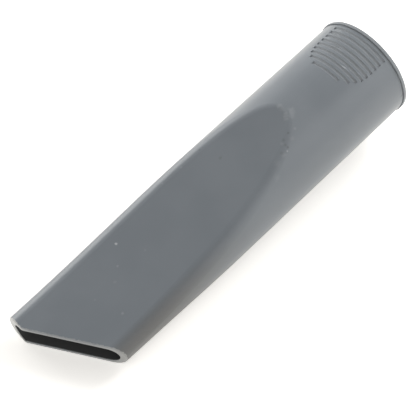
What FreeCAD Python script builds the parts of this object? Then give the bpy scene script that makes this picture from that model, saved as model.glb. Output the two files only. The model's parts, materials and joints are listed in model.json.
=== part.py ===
import FreeCAD, Part
import math
import os

# A vacuum crevice tool: one thin-walled moulding, a round socket that flattens into an oblique slot nozzle.
# Millimetres. It is drawn along +X from its mouth at x = 0, its mid-plane at z = 0, then laid as it rests.

# Driving dimensions: the socket
BORE_DIAMETER = 35.6
SOCKET_WALL = 1.8
SOCKET_DEPTH = 38.0
STOP_STEP = 0.8
LEAD_IN = 0.6
RIM_WIDTH = 1.25
RIM_PROUD = 0.4
RIM_CHAMFER = 0.15
RELIEF_WIDTH = 0.4
RELIEF_DEPTH = 0.3

# Driving dimensions: the flattened nozzle
LENGTH = 158.2
FLAT_START = 42.9
NOSE_RUN = 5.0
FLAT_WALL = 1.35
LONG_SIDE_WALL = 3.1
SHORT_SIDE_WALL = 2.0
SLOT_LAND = 25.0
NOSE_THICKNESS = 10.6
FLAT_BLEND = 5.0
LIP_CHAMFER = 0.3

# Driving dimensions: the oblique cut of the nose, seen from above
CUT_ANGLE = 28.7
TIP_WIDTH = 7.6
TIP_SWEEP = 5.8
TIP_ROUND = 2.0

# Driving dimensions: the grip grooves on top of the socket
GROOVE_FIRST = 3.3
GROOVE_PITCH = 2.24
GROOVE_WIDTH = 1.3
GROOVE_BOTTOM = 0.7
GROOVE_DEPTH = 0.4
GRIP_WIDTH = 24.6
GRIP_STRAIGHT = 12.0
GRIP_LENGTH = 22.6

# How full a round the nose's thin sides may have, as a share of half its thickness
FULLEST_ROUND = 0.95

# Worked out from the driving dimensions
OUTER_RADIUS = BORE_DIAMETER / 2 + SOCKET_WALL
DUCT_RADIUS = BORE_DIAMETER / 2 - STOP_STEP
NOSE_HALF = NOSE_THICKNESS / 2
BLEND_RADIUS = min(FLAT_BLEND, NOSE_HALF * FULLEST_ROUND)
FLAT_END = LENGTH - NOSE_RUN
FLAT_RISE = OUTER_RADIUS - NOSE_HALF
FLAT_RADIUS = ((FLAT_END - FLAT_START) ** 2 + FLAT_RISE ** 2) / (2 * FLAT_RISE)
FLAT_CENTRE_Z = NOSE_HALF + FLAT_RADIUS
TIP_Y = TIP_WIDTH - OUTER_RADIUS
GROOVE_COUNT = math.ceil((GRIP_LENGTH - GROOVE_FIRST) / GROOVE_PITCH)
MARGIN = OUTER_RADIUS / 2

# How near a point lies to a surface to count as on it, the points of an edge that are tried,
# and the rounds that settle the resting plane
ON_SURFACE = 1e-4
EDGE_POINTS = 8
SETTLING_ROUNDS = 6

AXIS = FreeCAD.Vector(1, 0, 0)
UP = FreeCAD.Vector(0, 0, 1)
ORIGIN = FreeCAD.Vector(0, 0, 0)


def flat_point(angle, inset):
    """A point of the upper flat's side profile, at an angle back from where the nose runs parallel."""
    radius = FLAT_RADIUS + inset
    return FreeCAD.Vector(FLAT_END - radius * math.sin(angle), 0, FLAT_CENTRE_Z - radius * math.cos(angle))


def flat_cutter(inset):
    """What is taken off above the upper flat: a long hollow arc that ends parallel to the axis."""
    highest = math.acos((FLAT_CENTRE_Z - OUTER_RADIUS - MARGIN) / (FLAT_RADIUS + inset))
    back = flat_point(highest, inset)
    middle = flat_point(highest / 2, inset)
    front = flat_point(0, inset)
    nose = FreeCAD.Vector(LENGTH + 2 * MARGIN, 0, front.z)
    corner = FreeCAD.Vector(nose.x, 0, back.z)
    edges = [
        Part.Arc(back, middle, front).toShape(),
        Part.makeLine(front, nose),
        Part.makeLine(nose, corner),
        Part.makeLine(corner, back),
    ]
    profile = Part.Face(Part.Wire(edges))
    half_width = OUTER_RADIUS + MARGIN
    profile.translate(FreeCAD.Vector(0, -half_width, 0))
    return profile.extrude(FreeCAD.Vector(0, 2 * half_width, 0))


def lies_on_tube(edge, radius):
    """Whether an edge runs over the tube's surface and also along it, as the flat's border does."""
    points = edge.discretize(EDGE_POINTS)
    on_tube = all(abs(math.hypot(point.y, point.z) - radius) < ON_SURFACE for point in points)
    along = abs(points[0].x - points[-1].x) > ON_SURFACE
    across = max(abs(point.y) for point in points) > ON_SURFACE
    return on_tube and along and across


def flattened_tube(radius, inset):
    """A round tube along the axis, flattened alike above and below."""
    start = FreeCAD.Vector(-MARGIN, 0, 0)
    tube = Part.makeCylinder(radius, LENGTH + 2 * MARGIN, start, AXIS)
    above = flat_cutter(inset)
    below = above.mirror(ORIGIN, UP)
    return tube.cut([above, below])


def outer_form():
    """The endless outer shape: the flattened tube, with the long borders of its flats blended round."""
    form = flattened_tube(OUTER_RADIUS, 0)
    borders = [edge for edge in form.Edges if lies_on_tube(edge, OUTER_RADIUS)]
    return form.makeFillet(BLEND_RADIUS, borders)


def slot_land():
    """The parallel end of the duct: a slot with half-round ends, its wall thicker beside the tip."""
    half_height = NOSE_HALF - FLAT_WALL
    long_end = LONG_SIDE_WALL - OUTER_RADIUS + half_height
    short_end = OUTER_RADIUS - SHORT_SIDE_WALL - half_height
    start_x = LENGTH - SLOT_LAND
    length = SLOT_LAND + MARGIN
    corner = FreeCAD.Vector(start_x, long_end, -half_height)
    middle = Part.makeBox(length, short_end - long_end, 2 * half_height, corner)
    ends = [
        Part.makeCylinder(half_height, length, FreeCAD.Vector(start_x, end_y, 0), AXIS)
        for end_y in (long_end, short_end)
    ]
    return middle.fuse(ends).removeSplitter()


def duct():
    """The air passage from the socket to the slot."""
    corner = FreeCAD.Vector(-MARGIN, -OUTER_RADIUS, -OUTER_RADIUS)
    upstream = Part.makeBox(LENGTH - SLOT_LAND + MARGIN, 2 * OUTER_RADIUS, 2 * OUTER_RADIUS, corner)
    return flattened_tube(DUCT_RADIUS, FLAT_WALL).common(upstream).fuse(slot_land())


def plan_prism():
    """The outline seen from above: square at the mouth, oblique at the nose, with a blunt swept-back tip."""
    side = OUTER_RADIUS + MARGIN
    short_x = LENGTH - (side - TIP_Y) * math.tan(math.radians(CUT_ANGLE))
    long_x = LENGTH - (side + TIP_Y) * math.tan(math.radians(TIP_SWEEP))
    plan = [(0, -side), (long_x, -side), (LENGTH, TIP_Y), (short_x, side), (0, side), (0, -side)]
    outline = Part.makePolygon([FreeCAD.Vector(x, y, -side) for x, y in plan])
    prism = Part.Face(outline).extrude(UP * (2 * side))
    tip = FreeCAD.Vector(LENGTH, TIP_Y, 0)
    corner = [edge for edge in prism.Edges if edge.CenterOfMass.distanceToPoint(tip) < ON_SURFACE]
    return prism.makeFillet(TIP_ROUND, corner)


def is_nose_face(face):
    """Whether a face belongs to the upright cut across the nose."""
    u_low, u_high, v_low, v_high = face.ParameterRange
    normal = face.normalAt((u_low + u_high) / 2, (v_low + v_high) / 2)
    return normal.x > ON_SURFACE and abs(normal.z) < ON_SURFACE


def outer_skin():
    """The solid outer shape, cut off at the mouth and the nose, its lip edges broken."""
    skin = outer_form().common(plan_prism())
    nose_faces = [face for face in skin.Faces if is_nose_face(face)]
    lip = []
    for edge in skin.Edges:
        beside = [face for face in nose_faces if any(edge.isSame(other) for other in face.Edges)]
        if len(beside) == 1:
            lip.append(edge)
    return skin.makeChamfer(LIP_CHAMFER, lip)


def lies_on_circle(edge, radius):
    """Whether an edge is a circle of that radius about the axis."""
    points = edge.discretize(EDGE_POINTS)
    return all(abs(math.hypot(point.y, point.z) - radius) < ON_SURFACE for point in points)


def ring(start_x, width, inner_radius, outer_radius):
    """A square-edged ring about the axis."""
    start = FreeCAD.Vector(start_x, 0, 0)
    outside = Part.makeCylinder(outer_radius, width, start, AXIS)
    return outside.cut(Part.makeCylinder(inner_radius, width, start, AXIS))


def rim():
    """The slightly proud bead round the mouth, its outer edges broken."""
    radius = OUTER_RADIUS + RIM_PROUD
    bead = ring(0, RIM_WIDTH, BORE_DIAMETER / 2, radius)
    outer_edges = [edge for edge in bead.Edges if edge.isClosed() and lies_on_circle(edge, radius)]
    return bead.makeChamfer(RIM_CHAMFER, outer_edges)


def rim_relief():
    """The fine groove that sets the rim off from the tube."""
    return ring(RIM_WIDTH, RELIEF_WIDTH, OUTER_RADIUS - RELIEF_DEPTH, OUTER_RADIUS + RIM_PROUD)


def socket():
    """The bore that takes the wand: a chamfer guides it in, and a small step at the end stops it."""
    bore = Part.makeCylinder(BORE_DIAMETER / 2, SOCKET_DEPTH, ORIGIN, AXIS)
    return bore.fuse(Part.makeCone(BORE_DIAMETER / 2 + LEAD_IN, BORE_DIAMETER / 2, LEAD_IN, ORIGIN, AXIS))


def grip_half_angle(x):
    """Half the angle that a groove at x spans: full in the straight part, then a half-ellipse's width."""
    beyond = max(x - GRIP_STRAIGHT, 0) / (GRIP_LENGTH - GRIP_STRAIGHT)
    half_width = GRIP_WIDTH / 2 * math.sqrt(1 - beyond ** 2)
    return half_width / OUTER_RADIUS


def grip_groove(x):
    """A cutter for one groove: a tapered section swept round the socket's top, square at both ends."""
    half_bottom = GROOVE_BOTTOM / 2
    half_top = GROOVE_WIDTH - half_bottom
    bottom_z = OUTER_RADIUS - GROOVE_DEPTH
    top_z = OUTER_RADIUS + GROOVE_DEPTH
    section = [
        FreeCAD.Vector(x - half_bottom, 0, bottom_z),
        FreeCAD.Vector(x + half_bottom, 0, bottom_z),
        FreeCAD.Vector(x + half_top, 0, top_z),
        FreeCAD.Vector(x - half_top, 0, top_z),
    ]
    profile = Part.Face(Part.makePolygon(section + section[:1]))
    half_angle = math.degrees(grip_half_angle(x))
    profile.rotate(ORIGIN, AXIS, -half_angle)
    return profile.revolve(ORIGIN, AXIS, 2 * half_angle)


def tool_body():
    """The whole moulding along +X, before it is laid down."""
    grooves = [grip_groove(GROOVE_FIRST + index * GROOVE_PITCH) for index in range(GROOVE_COUNT)]
    body = outer_skin().fuse(rim())
    return body.cut([duct(), socket(), rim_relief()] + grooves).removeSplitter()


def lip_contact(y):
    """The point of the lower lip at y where the flat meets the oblique cut."""
    x = LENGTH - (y - TIP_Y) * math.tan(math.radians(CUT_ANGLE))
    angle = math.asin(max(FLAT_END - x, 0) / FLAT_RADIUS)
    return FreeCAD.Vector(x, y, -flat_point(angle, 0).z)


def resting_normal():
    """The floor's normal: it touches the lower lip at both ends, and the tube where the lower flat starts."""
    flat_half_width = math.sqrt((OUTER_RADIUS - BLEND_RADIUS) ** 2 - (NOSE_HALF - BLEND_RADIUS) ** 2)
    long_end = lip_contact(TIP_Y)
    short_end = lip_contact(flat_half_width)
    normal = FreeCAD.Vector(UP)
    for _ in range(SETTLING_ROUNDS):
        down = FreeCAD.Vector(0, -normal.y, -normal.z).normalize()
        heel = AXIS * FLAT_START + down * OUTER_RADIUS
        normal = (short_end - long_end).cross(heel - long_end).normalize()
    return normal


def laid_down(body):
    """The body as it rests, its origin under the middle of its box, the mouth towards -X."""
    up = resting_normal()
    across = up.cross(AXIS).normalize()
    along = across.cross(up)
    rows = FreeCAD.Matrix(along.x, along.y, along.z, 0, across.x, across.y, across.z, 0, up.x, up.y, up.z, 0)
    turned = body.transformed(rows, True)
    box = turned.optimalBoundingBox(False, False)
    turned.translate(FreeCAD.Vector(-box.Center.x, -box.Center.y, -box.ZMin))
    return turned


def main():
    os.makedirs("parts", exist_ok=True)
    laid_down(tool_body()).exportStep("parts/crevice_tool_body.step")


main()
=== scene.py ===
"""Dresses the vacuum crevice tool: scuffed grey moulded plastic on a white floor, seen as in the photo."""

import json
import math
from typing import NamedTuple

import bmesh
import bpy
from bpy.props import FloatProperty, FloatVectorProperty, PointerProperty
from mathutils import Matrix, Vector

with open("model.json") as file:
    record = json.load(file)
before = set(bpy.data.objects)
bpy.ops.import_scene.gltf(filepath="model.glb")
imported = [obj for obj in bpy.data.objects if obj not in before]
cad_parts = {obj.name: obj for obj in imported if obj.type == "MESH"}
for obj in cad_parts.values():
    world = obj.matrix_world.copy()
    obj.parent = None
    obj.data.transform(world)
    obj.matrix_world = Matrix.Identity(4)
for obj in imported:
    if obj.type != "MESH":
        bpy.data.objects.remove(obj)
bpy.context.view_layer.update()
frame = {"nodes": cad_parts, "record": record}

bl_info = {
    "name": "Vacuum crevice tool",
    "version": (1, 0, 0),
    "blender": (4, 5, 0),
    "location": "View3D > Sidebar > Crevice tool",
    "description": "Finishes the crevice tool's moulded body and sets its stage, light and camera",
    "category": "Object",
}

BODY_NODE = "crevice_tool_body"
MILLIMETRES = 1000.0
WHITE = (1.0, 1.0, 1.0)

# How the tool lies, in metres: its socket gives the axis, and it leans a little on its oblique lip
SOCKET = frame["record"]["mounts"][0]
SOCKET_LEAD_IN = 0.0006
ALONG = -Vector(SOCKET["axis"])
LEVEL_ACROSS = Vector((0.0, 1.0, 0.0))
LEAN = math.radians(-3.8912)

# The moulding's own sizes in millimetres: x from the mouth, y across, z up from the mid-plane
TIP = (158.2, -12.0, 0.0)
CUT_ANGLE = math.radians(28.7)
TIP_SWEEP = math.radians(5.8)
FLAT_END = 153.2
FLAT_RADIUS = 432.5
FLAT_WALL = 1.35
NOSE_HALF = 5.3
LIP_EDGE = 0.3
TUBE_RADIUS = 19.6

# Distances from the axis, across the section, that tell the duct's, the outer and the rim's faces apart
ACROSS_SECTION = (0.0, 1.0, 1.0)
DUCT_REACH = 17.65
OUTSIDE_REACH = 18.9
RIM_REACH = 19.75

# Blemishes on the upper side: place along and across in the same millimetres, radius and strength
DUST_SPECKS = (
    (115.1, -10.7, 0.75, 0.9),
    (120.6, -4.4, 0.7, 0.2),
    (125.4, -1.0, 0.8, 0.12),
    (131.9, 9.2, 0.8, 0.22),
    (110.3, -1.5, 0.6, 0.1),
    (134.4, -1.3, 0.6, 0.1),
    (88.7, -14.5, 0.6, 0.15),
    (80.2, -13.4, 0.6, 0.15),
    (53.3, 11.3, 0.45, 0.75),
)
DARK_MARKS = (
    (71.6, -13.0, 0.7, 0.3),
    (69.4, -5.1, 0.9, 0.22),
    (48.6, 7.4, 0.8, 0.3),
    (51.5, 8.0, 1.0, 0.2),
    (52.4, 9.6, 0.9, 0.25),
    (52.2, 10.6, 0.8, 0.3),
    (55.3, 10.6, 1.0, 0.2),
    (1.9, 19.5, 1.1, 0.4),
)
PALE_SCUFFS = (
    (43.0, -1.7, 1.7, 0.4),
    (43.1, -0.4, 1.6, 0.34),
    (43.2, 0.8, 1.5, 0.32),
    (43.8, 2.0, 1.5, 0.42),
    (44.5, 2.7, 1.4, 0.42),
    (45.1, 3.4, 1.4, 0.36),
    (41.5, 2.5, 1.8, 0.38),
    (42.3, 3.3, 1.8, 0.38),
    (43.1, 4.0, 1.8, 0.32),
    (45.7, 7.9, 0.9, 0.35),
    (49.0, 9.6, 1.6, 0.2),
    (52.9, 8.4, 1.0, 0.28),
    (55.2, 11.4, 1.4, 0.28),
    (58.9, 11.8, 1.8, 0.15),
    (62.3, 14.6, 2.0, 0.15),
)

# The share of a mark's radius where it comes to its full strength
MARK_CORE = 0.25

# The noises: how fine they are, and where the ragged one and the clouds lie in their range
FINE_DETAIL = 2.0
RAGGED_DETAIL = 3.0
RAGGED_SIZE = 0.9
RAGGED_MIDDLE = 0.4
CLOUD_DETAIL = 4.0
CLOUD_RANGE = (0.3, 0.7)

# Dust and painted light on the grip, from the tube's surface inwards: in the relief beside the rim, then in
# the grooves, where it lightens the shaded walls that face the nozzle
GRIP_FROM = 1.0
GRIP_TO = 27.0
DUST_AND_LIGHT_REACH = (TUBE_RADIUS, 19.4)
RELIEF_END = (2.0, 2.6)
RELIEF_DUST_AND_LIGHT = 0.55
GROOVE_DUST_AND_LIGHT = (0.0, 0.45)
GROOVE_SLOPE = 0.8
DUST_ROUGHNESS = 0.9

# The rim's wear and painted highlight: how far along it may reach, and its strength
RIM_WIDTH = 1.6
RIM_WEAR_AND_HIGHLIGHT = 0.35

# The shade painted on the short side, and the shade painted in the duct, which starts in it and is full
# before the slot
EDGE_SHADE = 0.8
EDGE_SHADE_ALONG = (70.0, 130.0)
EDGE_SHADE_ACROSS = (14.0, 19.0)
DUCT_SHADE_ALONG = (45.0, 110.0)
DUCT_SHADE_ROUGHNESS = 0.35

# The highlight painted on the lip: how far back it reaches, its strength all along, and what its two ends add
HIGHLIGHT_REACH = 0.6
HIGHLIGHT_ALONG_LIP = 0.36
HIGHLIGHT_AT_TIP = 0.6
TIP_HIGHLIGHT_ACROSS = (-9.0, -15.0)
HIGHLIGHT_AT_CORNER = 0.15
CORNER_HIGHLIGHT_ACROSS = (9.0, 16.0)

# The height of the sky, as a share of straight up, where its light starts to fall and would end
SKY_FALL = (0.25, 1.1)

# The place that the softboxes face, in metres
LIGHT_TARGET = Vector((0.0, 0.0, 0.02))

# Sockets of a colour Mix node, which share their names
MIX_FACTOR = 0
MIX_FIRST = 6
MIX_SECOND = 7
MIX_RESULT = 2


class PlasticFinish(bpy.types.PropertyGroup):
    """The moulded plastic's colours and surface."""

    colour: FloatVectorProperty(
        name="Plastic colour", description="Colour of the clean plastic", subtype="COLOR",
        default=(0.186, 0.204, 0.221), min=0.0, max=1.0)
    pale_colour: FloatVectorProperty(
        name="Mottled colour", description="Slightly paler colour that clouds the plastic", subtype="COLOR",
        default=(0.199, 0.217, 0.234), min=0.0, max=1.0)
    # Colour of real scuffs, and of the highlight painted on the rim
    scuff_and_highlight_colour: FloatVectorProperty(
        name="Scuff and highlight colour", description="Colour of rubbed plastic and of the rim's painted highlight", subtype="COLOR",
        default=(0.31, 0.325, 0.335), min=0.0, max=1.0)
    # Colour of real dust specks, and of the light painted on the shaded groove walls
    dust_and_light_colour: FloatVectorProperty(
        name="Dust and light colour", description="Colour of the dust, its specks and the light painted in the grooves", subtype="COLOR",
        default=(0.48, 0.49, 0.5), min=0.0, max=1.0)
    # Painted highlight: this colour makes the lip's end face pale
    lip_highlight_colour: FloatVectorProperty(
        name="Lip highlight colour", description="Colour of the highlight painted on the lip", subtype="COLOR",
        default=(0.55, 0.55, 0.53), min=0.0, max=1.0)
    # Painted shade: this colour darkens the short side near the nozzle
    edge_shade_colour: FloatVectorProperty(
        name="Edge shade colour", description="Colour of the shade painted on the short side near the nozzle", subtype="COLOR",
        default=(0.13, 0.125, 0.115), min=0.0, max=1.0)
    # Colour of the real dark marks, and of the painted shade in the duct
    dark_mark_and_shade_colour: FloatVectorProperty(
        name="Dark mark and shade colour", description="Colour of dark marks and of the shade painted in the duct", subtype="COLOR",
        default=(0.055, 0.056, 0.055), min=0.0, max=1.0)
    cloud_size: FloatProperty(
        name="Cloud size", description="Width of the mottled clouds, in millimetres of the tool",
        default=22.0, min=1.0)
    grain_size: FloatProperty(
        name="Grain size", description="Width of the moulded grain, in millimetres of the tool",
        default=0.55, min=0.05)
    grain_depth: FloatProperty(
        name="Grain depth", description="Depth of the moulded grain",
        default=0.00001, min=0.0, unit="LENGTH")
    wave_size: FloatProperty(
        name="Wave size", description="Width of the slight unevenness, in millimetres of the tool",
        default=14.0, min=1.0)
    wave_depth: FloatProperty(
        name="Wave depth", description="Depth of the slight unevenness",
        default=0.00003, min=0.0, unit="LENGTH")
    roughness_low: FloatProperty(
        name="Smoothest roughness", description="Roughness where the plastic is polished by use",
        default=0.29, min=0.0, max=1.0, subtype="FACTOR")
    roughness_high: FloatProperty(
        name="Roughest roughness", description="Roughness where the plastic is dull",
        default=0.36, min=0.0, max=1.0, subtype="FACTOR")


class StudioStage(bpy.types.PropertyGroup):
    """The floor and the light round it."""

    floor_half: FloatProperty(
        name="Floor half width", description="Half the floor's side", default=4.0, min=0.5, unit="LENGTH")
    floor_colour: FloatVectorProperty(
        name="Floor colour", description="Colour of the floor", subtype="COLOR",
        default=(0.9, 0.888, 0.865), min=0.0, max=1.0)
    glow_colour: FloatVectorProperty(
        name="Glow colour", description="Colour of the floor's own glow", subtype="COLOR",
        default=(1.0, 0.975, 0.93), min=0.0, max=1.0)
    floor_glow: FloatProperty(
        name="Floor glow", description="What brings the lit floor to white for the camera and in reflections",
        default=0.5, min=0.0)
    sky_low: FloatProperty(
        name="Low light", description="Strength of the light that comes in level with the floor",
        default=1.08, min=0.0)
    sky_high: FloatProperty(
        name="Top light", description="Strength that the light falls towards overhead",
        default=0.0, min=0.0)
    softbox_side: FloatProperty(
        name="Softbox side", description="Side of the square softboxes", default=0.3, min=0.01, unit="LENGTH")
    back_place: FloatVectorProperty(
        name="Back softbox", description="Where the softbox behind the mouth hangs", subtype="TRANSLATION",
        unit="LENGTH", default=(-0.45, 0.0, 0.35))
    back_power: FloatProperty(
        name="Back power", description="Power of the softbox behind the mouth",
        default=2.2, min=0.0, unit="POWER")
    near_place: FloatVectorProperty(
        name="Near softbox", description="Where the softbox on the near side hangs", subtype="TRANSLATION",
        unit="LENGTH", default=(-0.35, 0.35, 0.3))
    near_power: FloatProperty(
        name="Near power", description="Power of the softbox on the near side",
        default=0.2, min=0.0, unit="POWER")
    far_place: FloatVectorProperty(
        name="Far softbox", description="Where the softbox on the far side hangs", subtype="TRANSLATION",
        unit="LENGTH", default=(0.0, -0.5, 0.2))
    far_power: FloatProperty(
        name="Far power", description="Power of the softbox on the far side",
        default=1.0, min=0.0, unit="POWER")


class PhotoCamera(bpy.types.PropertyGroup):
    """The camera at the photo's place."""

    place: FloatVectorProperty(
        name="Place", description="Where the camera stands", subtype="TRANSLATION", unit="LENGTH",
        default=(0.25798, 0.25524, 0.4549))
    turn: FloatVectorProperty(
        name="Turn", description="How the camera is turned", subtype="EULER",
        default=(math.radians(39.4101), math.radians(0.7525), math.radians(134.2974)))
    lens: FloatProperty(
        name="Lens", description="Focal length in millimetres on a 36 mm sensor", default=144.038, min=1.0)


class ToolPlace(NamedTuple):
    """Node sockets that tell where a point of the surface lies, in the tool's own millimetres."""

    point: bpy.types.NodeSocket
    along: bpy.types.NodeSocket
    across: bpy.types.NodeSocket
    height: bpy.types.NodeSocket
    reach: bpy.types.NodeSocket
    behind: bpy.types.NodeSocket


def put(tree, kind, sockets=None, **settings):
    """Adds a node, with its settings, and sets or links the sockets given by name or number."""
    made = tree.nodes.new(kind)
    for name, value in settings.items():
        setattr(made, name, value)
    for key, value in (sockets or {}).items():
        if isinstance(value, bpy.types.NodeSocket):
            tree.links.new(value, made.inputs[key])
        else:
            made.inputs[key].default_value = value
    return made


def mixed(tree, factor, first, second):
    """A colour between two colours."""
    sockets = {MIX_FACTOR: factor, MIX_FIRST: first, MIX_SECOND: second}
    return put(tree, "ShaderNodeMix", sockets, data_type="RGBA").outputs[MIX_RESULT]


def opaque(colour):
    """A colour with full cover, as colour sockets take it."""
    return (*colour, 1.0)


def calculated(tree, operation, first, second=0.0):
    """The result of one sum."""
    return put(tree, "ShaderNodeMath", {0: first, 1: second}, operation=operation).outputs["Value"]


def product(tree, first, *others):
    """Several masks multiplied together."""
    total = first
    for other in others:
        total = calculated(tree, "MULTIPLY", total, other)
    return total


def combined(tree, operation, first, second):
    """The vector that two vectors make."""
    return put(tree, "ShaderNodeVectorMath", {0: first, 1: second}, operation=operation).outputs["Vector"]


def measured(tree, operation, first, second=(0.0, 0.0, 0.0)):
    """A length, a distance or a dot product."""
    return put(tree, "ShaderNodeVectorMath", {0: first, 1: second}, operation=operation).outputs["Value"]


def remapped(tree, value, low, high, to_low=0.0, to_high=1.0):
    """A value eased from one range into another."""
    limits = {"Value": value, "From Min": low, "From Max": high, "To Min": to_low, "To Max": to_high}
    return put(tree, "ShaderNodeMapRange", limits, interpolation_type="SMOOTHSTEP").outputs["Result"]


def clouds(tree, point, width, detail=FINE_DETAIL):
    """Soft noise whose lumps are about that wide."""
    sockets = {"Vector": point, "Scale": 1.0 / width, "Detail": detail}
    return put(tree, "ShaderNodeTexNoise", sockets).outputs["Fac"]


def tool_point(tree):
    """The point on the surface, turned and moved into the tool's own millimetres."""
    across = Matrix.Rotation(LEAN, 3, ALONG) @ LEVEL_ACROSS
    turn = Matrix((ALONG, across, ALONG.cross(across)))
    half_length = SOCKET["dims"]["length_mm"] / MILLIMETRES / 2
    mouth = Vector(SOCKET["pos_m"]) - ALONG * (half_length + SOCKET_LEAD_IN)
    mapping = put(tree, "ShaderNodeMapping", {
        "Vector": put(tree, "ShaderNodeTexCoord").outputs["Object"],
        "Location": -(turn @ mouth) * MILLIMETRES,
        "Rotation": turn.to_euler(),
        "Scale": (MILLIMETRES,) * 3,
    })
    return mapping.outputs["Vector"]


def section_reach(tree, point):
    """How far a point lies from the tool's axis."""
    return measured(tree, "LENGTH", combined(tree, "MULTIPLY", point, ACROSS_SECTION))


def behind_nose(tree, point):
    """How far a point lies behind the oblique nose or the swept tip, whichever is nearer."""
    back = combined(tree, "SUBTRACT", TIP, point)
    cut = measured(tree, "DOT_PRODUCT", back, (math.cos(CUT_ANGLE), math.sin(CUT_ANGLE), 0.0))
    sweep = measured(tree, "DOT_PRODUCT", back, (math.cos(TIP_SWEEP), -math.sin(TIP_SWEEP), 0.0))
    return calculated(tree, "MINIMUM", cut, sweep)


def tool_place(tree):
    """All that the plastic's masks measure from."""
    point = tool_point(tree)
    axes = put(tree, "ShaderNodeSeparateXYZ", {"Vector": point}).outputs
    reach = section_reach(tree, point)
    return ToolPlace(point, axes["X"], axes["Y"], axes["Z"], reach, behind_nose(tree, point))


def on_upper_side(along, across):
    """The point of the upper side at a place, on the flat or on the tube, whichever is lower."""
    flat = NOSE_HALF + max(FLAT_END - along, 0.0) ** 2 / (2 * FLAT_RADIUS)
    tube = math.sqrt(TUBE_RADIUS ** 2 - across ** 2)
    return (along, across, min(flat, tube))


def spots(tree, place, marks, ragged):
    """A mask of marks with edges broken up by a noise, each with its own strength."""
    total = 0.0
    for along, across, radius, strength in marks:
        away = measured(tree, "DISTANCE", place.point, on_upper_side(along, across))
        edge = calculated(tree, "ADD", away, calculated(tree, "MULTIPLY", ragged, radius))
        mark = remapped(tree, edge, radius, radius * MARK_CORE, to_high=strength)
        total = calculated(tree, "MAXIMUM", total, mark)
    return total


def lip_highlight(tree, place, ragged):
    """A mask of the highlight painted on the lip: a thin line all along it, stronger at its two ends and most
    at the tip.
    """
    line = remapped(tree, calculated(tree, "ADD", place.behind, ragged), HIGHLIGHT_REACH, LIP_EDGE)
    most = HIGHLIGHT_ALONG_LIP + HIGHLIGHT_AT_TIP
    tip = remapped(tree, place.across, *TIP_HIGHLIGHT_ACROSS, HIGHLIGHT_ALONG_LIP, most)
    corner = remapped(tree, place.across, *CORNER_HIGHLIGHT_ACROSS, to_high=HIGHLIGHT_AT_CORNER)
    return product(tree, line, calculated(tree, "ADD", tip, corner))


def groove_dust_and_light(tree, place):
    """A mask of dust and painted light in the rim's relief and in the grooves, most on the shaded walls that
    face the nozzle, which it lightens.
    """
    depth = remapped(tree, place.reach, *DUST_AND_LIGHT_REACH)
    facing = measured(tree, "DOT_PRODUCT", put(tree, "ShaderNodeNewGeometry").outputs["Normal"], ALONG)
    by_facing = remapped(tree, facing, -GROOVE_SLOPE, GROOVE_SLOPE, *GROOVE_DUST_AND_LIGHT)
    coverage = remapped(tree, place.along, *RELIEF_END, RELIEF_DUST_AND_LIGHT, by_facing)
    outside = calculated(tree, "GREATER_THAN", place.reach, OUTSIDE_REACH)
    past_mouth = calculated(tree, "GREATER_THAN", place.along, GRIP_FROM)
    on_grip = calculated(tree, "LESS_THAN", place.along, GRIP_TO)
    return product(tree, depth, coverage, outside, past_mouth, on_grip)


def rim_wear_and_highlight(tree, place, ragged):
    """A mask of the rim where it stands proud, rubbed unevenly and lightened as a painted highlight."""
    proud = calculated(tree, "GREATER_THAN", place.reach, RIM_REACH)
    on_rim = calculated(tree, "LESS_THAN", place.along, RIM_WIDTH)
    uneven = calculated(tree, "ADD", ragged, RIM_WEAR_AND_HIGHLIGHT)
    return product(tree, proud, on_rim, uneven)


def painted_edge_shade(tree, place):
    """A mask of the shade painted on the short side near the nozzle."""
    towards_nose = remapped(tree, place.along, *EDGE_SHADE_ALONG)
    towards_side = remapped(tree, place.across, *EDGE_SHADE_ACROSS, to_high=EDGE_SHADE)
    return product(tree, towards_nose, towards_side)


def painted_duct_shade(tree, place):
    """A mask of the shade painted on the duct's walls, which darken from the socket towards the slot."""
    before = calculated(tree, "MAXIMUM", calculated(tree, "SUBTRACT", FLAT_END, place.along), 0.0)
    rise = calculated(tree, "DIVIDE", product(tree, before, before), 2 * FLAT_RADIUS)
    level = calculated(tree, "SUBTRACT", calculated(tree, "ABSOLUTE", place.height), rise)
    under_roof = calculated(tree, "LESS_THAN", level, NOSE_HALF - FLAT_WALL / 2)
    within_walls = calculated(tree, "LESS_THAN", place.reach, DUCT_REACH)
    past_lip = calculated(tree, "GREATER_THAN", place.behind, LIP_EDGE)
    darkening = remapped(tree, place.along, *DUCT_SHADE_ALONG)
    return product(tree, darkening, under_roof, within_walls, past_lip)


def plastic_colour(tree, finish, place, cloud, dust_and_light, duct_shade):
    """Clouded grey with painted shade on the short side, scuffs, a worn rim with a painted highlight, dust
    and painted light in the grooves, specks, dark marks, a painted highlight on the lip and painted shade in
    the duct.
    """
    noise = clouds(tree, place.point, RAGGED_SIZE, RAGGED_DETAIL)
    ragged = calculated(tree, "SUBTRACT", noise, RAGGED_MIDDLE)
    patches = remapped(tree, cloud, *CLOUD_RANGE)
    colour = mixed(tree, patches, opaque(finish.colour), opaque(finish.pale_colour))
    layers = (
        # Painted shade on the short side near the nozzle
        (painted_edge_shade(tree, place), finish.edge_shade_colour),
        (spots(tree, place, PALE_SCUFFS, ragged), finish.scuff_and_highlight_colour),
        # Wear on the rim, with a painted highlight
        (rim_wear_and_highlight(tree, place, ragged), finish.scuff_and_highlight_colour),
        # Dust, with painted light on the shaded walls of the relief and grooves
        (dust_and_light, finish.dust_and_light_colour),
        (spots(tree, place, DUST_SPECKS, ragged), finish.dust_and_light_colour),
        (spots(tree, place, DARK_MARKS, ragged), finish.dark_mark_and_shade_colour),
        # Painted highlight on the lip
        (lip_highlight(tree, place, ragged), finish.lip_highlight_colour),
        # Painted shade in the duct
        (duct_shade, finish.dark_mark_and_shade_colour),
    )
    for mask, shade in layers:
        colour = mixed(tree, mask, colour, opaque(shade))
    return colour


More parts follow.
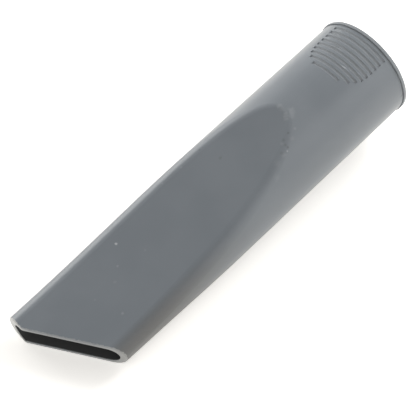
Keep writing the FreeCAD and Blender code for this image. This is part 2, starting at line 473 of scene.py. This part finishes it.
def plastic_roughness(tree, finish, cloud, dust_and_light, duct_shade):
    """Satin that varies with the clouds, and dull in the grooves, where dust and painted light lie, and where
    the duct's shade is painted.
    """
    satin = remapped(tree, cloud, *CLOUD_RANGE, finish.roughness_low, finish.roughness_high)
    groove_dulling = calculated(tree, "MULTIPLY", dust_and_light, DUST_ROUGHNESS)
    duct_dulling = calculated(tree, "MULTIPLY", duct_shade, DUCT_SHADE_ROUGHNESS)
    return calculated(tree, "ADD", satin, calculated(tree, "ADD", groove_dulling, duct_dulling))


def plastic_relief(tree, finish, place):
    """The moulding's slight unevenness with a fine grain over it."""
    uneven = put(tree, "ShaderNodeBump", {
        "Height": clouds(tree, place.point, finish.wave_size),
        "Distance": finish.wave_depth,
    })
    grained = put(tree, "ShaderNodeBump", {
        "Height": clouds(tree, place.point, finish.grain_size),
        "Distance": finish.grain_depth,
        "Normal": uneven.outputs["Normal"],
    })
    return grained.outputs["Normal"]


def grey_plastic(finish):
    """Satin grey moulded plastic, as the used tool shows it."""
    material = bpy.data.materials.new("grey_plastic_moulded")
    material.use_nodes = True
    tree = material.node_tree
    shader = tree.nodes["Principled BSDF"]
    place = tool_place(tree)
    cloud = clouds(tree, place.point, finish.cloud_size, CLOUD_DETAIL)
    dust_and_light = groove_dust_and_light(tree, place)
    duct_shade = painted_duct_shade(tree, place)
    tree.links.new(plastic_colour(tree, finish, place, cloud, dust_and_light, duct_shade), shader.inputs["Base Color"])
    tree.links.new(plastic_roughness(tree, finish, cloud, dust_and_light, duct_shade), shader.inputs["Roughness"])
    tree.links.new(plastic_relief(tree, finish, place), shader.inputs["Normal"])
    return material


class CREVICE_OT_finish_body(bpy.types.Operator):
    """Gives the moulded body its plastic"""

    bl_idname = "crevice.finish_body"
    bl_label = "Finish the body"

    def execute(self, context):
        body = frame["nodes"][BODY_NODE]
        body.material_slots[0].material = grey_plastic(context.scene.crevice_plastic)
        return {"FINISHED"}


def floor_material(stage):
    """A white floor that keeps the shadow, brought up to white for the camera and in reflections."""
    material = bpy.data.materials.new("white_floor")
    material.use_nodes = True
    tree = material.node_tree
    tree.nodes.clear()
    matte = put(tree, "ShaderNodeBsdfDiffuse", {"Color": opaque(stage.floor_colour)})
    path = put(tree, "ShaderNodeLightPath")
    seen = calculated(tree, "MAXIMUM", path.outputs["Is Camera Ray"], path.outputs["Is Glossy Ray"])
    seen = calculated(tree, "MAXIMUM", seen, path.outputs["Is Transmission Ray"])
    strength = calculated(tree, "MULTIPLY", seen, stage.floor_glow)
    glow = put(tree, "ShaderNodeEmission", {"Color": opaque(stage.glow_colour), "Strength": strength})
    both = put(tree, "ShaderNodeAddShader", {0: matte.outputs["BSDF"], 1: glow.outputs["Emission"]})
    put(tree, "ShaderNodeOutputMaterial", {"Surface": both.outputs["Shader"]})
    return material


class CREVICE_OT_build_stage(bpy.types.Operator):
    """Lays the white floor and lights it softly from all round and from three softboxes"""

    bl_idname = "crevice.build_stage"
    bl_label = "Build the stage"

    def execute(self, context):
        scene = context.scene
        stage = scene.crevice_stage
        self.lay_floor(scene, stage)
        self.light_sky(scene, stage)
        softboxes = {
            "back_softbox": (stage.back_place, stage.back_power),
            "near_softbox": (stage.near_place, stage.near_power),
            "far_softbox": (stage.far_place, stage.far_power),
        }
        for name, (place, power) in softboxes.items():
            self.hang_softbox(scene, stage.softbox_side, name, Vector(place), power)
        scene.view_settings.view_transform = "Standard"
        return {"FINISHED"}

    def lay_floor(self, scene, stage):
        """A wide square floor under the tool."""
        sheet = bmesh.new()
        bmesh.ops.create_grid(sheet, x_segments=1, y_segments=1, size=stage.floor_half)
        mesh = bpy.data.meshes.new("studio_floor")
        sheet.to_mesh(mesh)
        sheet.free()
        mesh.materials.append(floor_material(stage))
        floor = bpy.data.objects.new("studio_floor", mesh)
        scene.collection.objects.link(floor)

    def light_sky(self, scene, stage):
        """A tent of soft light: bright at the sides, dimmer overhead."""
        world = bpy.data.worlds.new("light_tent")
        world.use_nodes = True
        tree = world.node_tree
        background = tree.nodes["Background"]
        direction = put(tree, "ShaderNodeTexCoord").outputs["Generated"]
        height = put(tree, "ShaderNodeSeparateXYZ", {"Vector": direction}).outputs["Z"]
        strength = remapped(tree, height, *SKY_FALL, stage.sky_low, stage.sky_high)
        tree.links.new(strength, background.inputs["Strength"])
        background.inputs["Color"].default_value = opaque(WHITE)
        scene.world = world

    def hang_softbox(self, scene, side, name, place, power):
        """A square of soft light that faces the tool and stays out of the picture."""
        lamp = bpy.data.lights.new(name, "AREA")
        lamp.size = side
        lamp.energy = power
        holder = bpy.data.objects.new(name, lamp)
        holder.location = place
        holder.rotation_euler = (LIGHT_TARGET - place).to_track_quat("-Z", "Y").to_euler()
        holder.visible_camera = False
        scene.collection.objects.link(holder)


class CREVICE_OT_place_camera(bpy.types.Operator):
    """Sets up the camera where the photo was taken from"""

    bl_idname = "crevice.place_camera"
    bl_label = "Place the camera"

    def execute(self, context):
        settings = context.scene.crevice_camera
        camera = bpy.data.cameras.new("photo_camera")
        camera.lens = settings.lens
        holder = bpy.data.objects.new("photo_camera", camera)
        holder.location = settings.place
        holder.rotation_euler = settings.turn
        context.scene.collection.objects.link(holder)
        context.scene.camera = holder
        return {"FINISHED"}


class CREVICE_PT_sidebar(bpy.types.Panel):
    """Lists what makes the crevice tool's scene"""

    bl_idname = "CREVICE_PT_sidebar"
    bl_label = "Crevice tool"
    bl_space_type = "VIEW_3D"
    bl_region_type = "UI"
    bl_category = "Crevice tool"

    def draw(self, context):
        groups = (
            ("crevice_plastic", "crevice.finish_body"),
            ("crevice_stage", "crevice.build_stage"),
            ("crevice_camera", "crevice.place_camera"),
        )
        for name, operator in groups:
            settings = getattr(context.scene, name)
            section = self.layout.box()
            for key in settings.__annotations__:
                section.prop(settings, key)
            section.operator(operator)


CLASSES = (
    PlasticFinish,
    StudioStage,
    PhotoCamera,
    CREVICE_OT_finish_body,
    CREVICE_OT_build_stage,
    CREVICE_OT_place_camera,
    CREVICE_PT_sidebar,
)


def register():
    """Makes the settings, the operators and the panel known."""
    for entry in CLASSES:
        bpy.utils.register_class(entry)
    bpy.types.Scene.crevice_plastic = PointerProperty(type=PlasticFinish)
    bpy.types.Scene.crevice_stage = PointerProperty(type=StudioStage)
    bpy.types.Scene.crevice_camera = PointerProperty(type=PhotoCamera)


def unregister():
    """Takes them away again."""
    del bpy.types.Scene.crevice_camera
    del bpy.types.Scene.crevice_stage
    del bpy.types.Scene.crevice_plastic
    for entry in reversed(CLASSES):
        bpy.utils.unregister_class(entry)


def main():
    """Finishes the body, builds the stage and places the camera."""
    register()
    bpy.ops.crevice.finish_body()
    bpy.ops.crevice.build_stage()
    bpy.ops.crevice.place_camera()


if __name__ == "__main__":
    main()
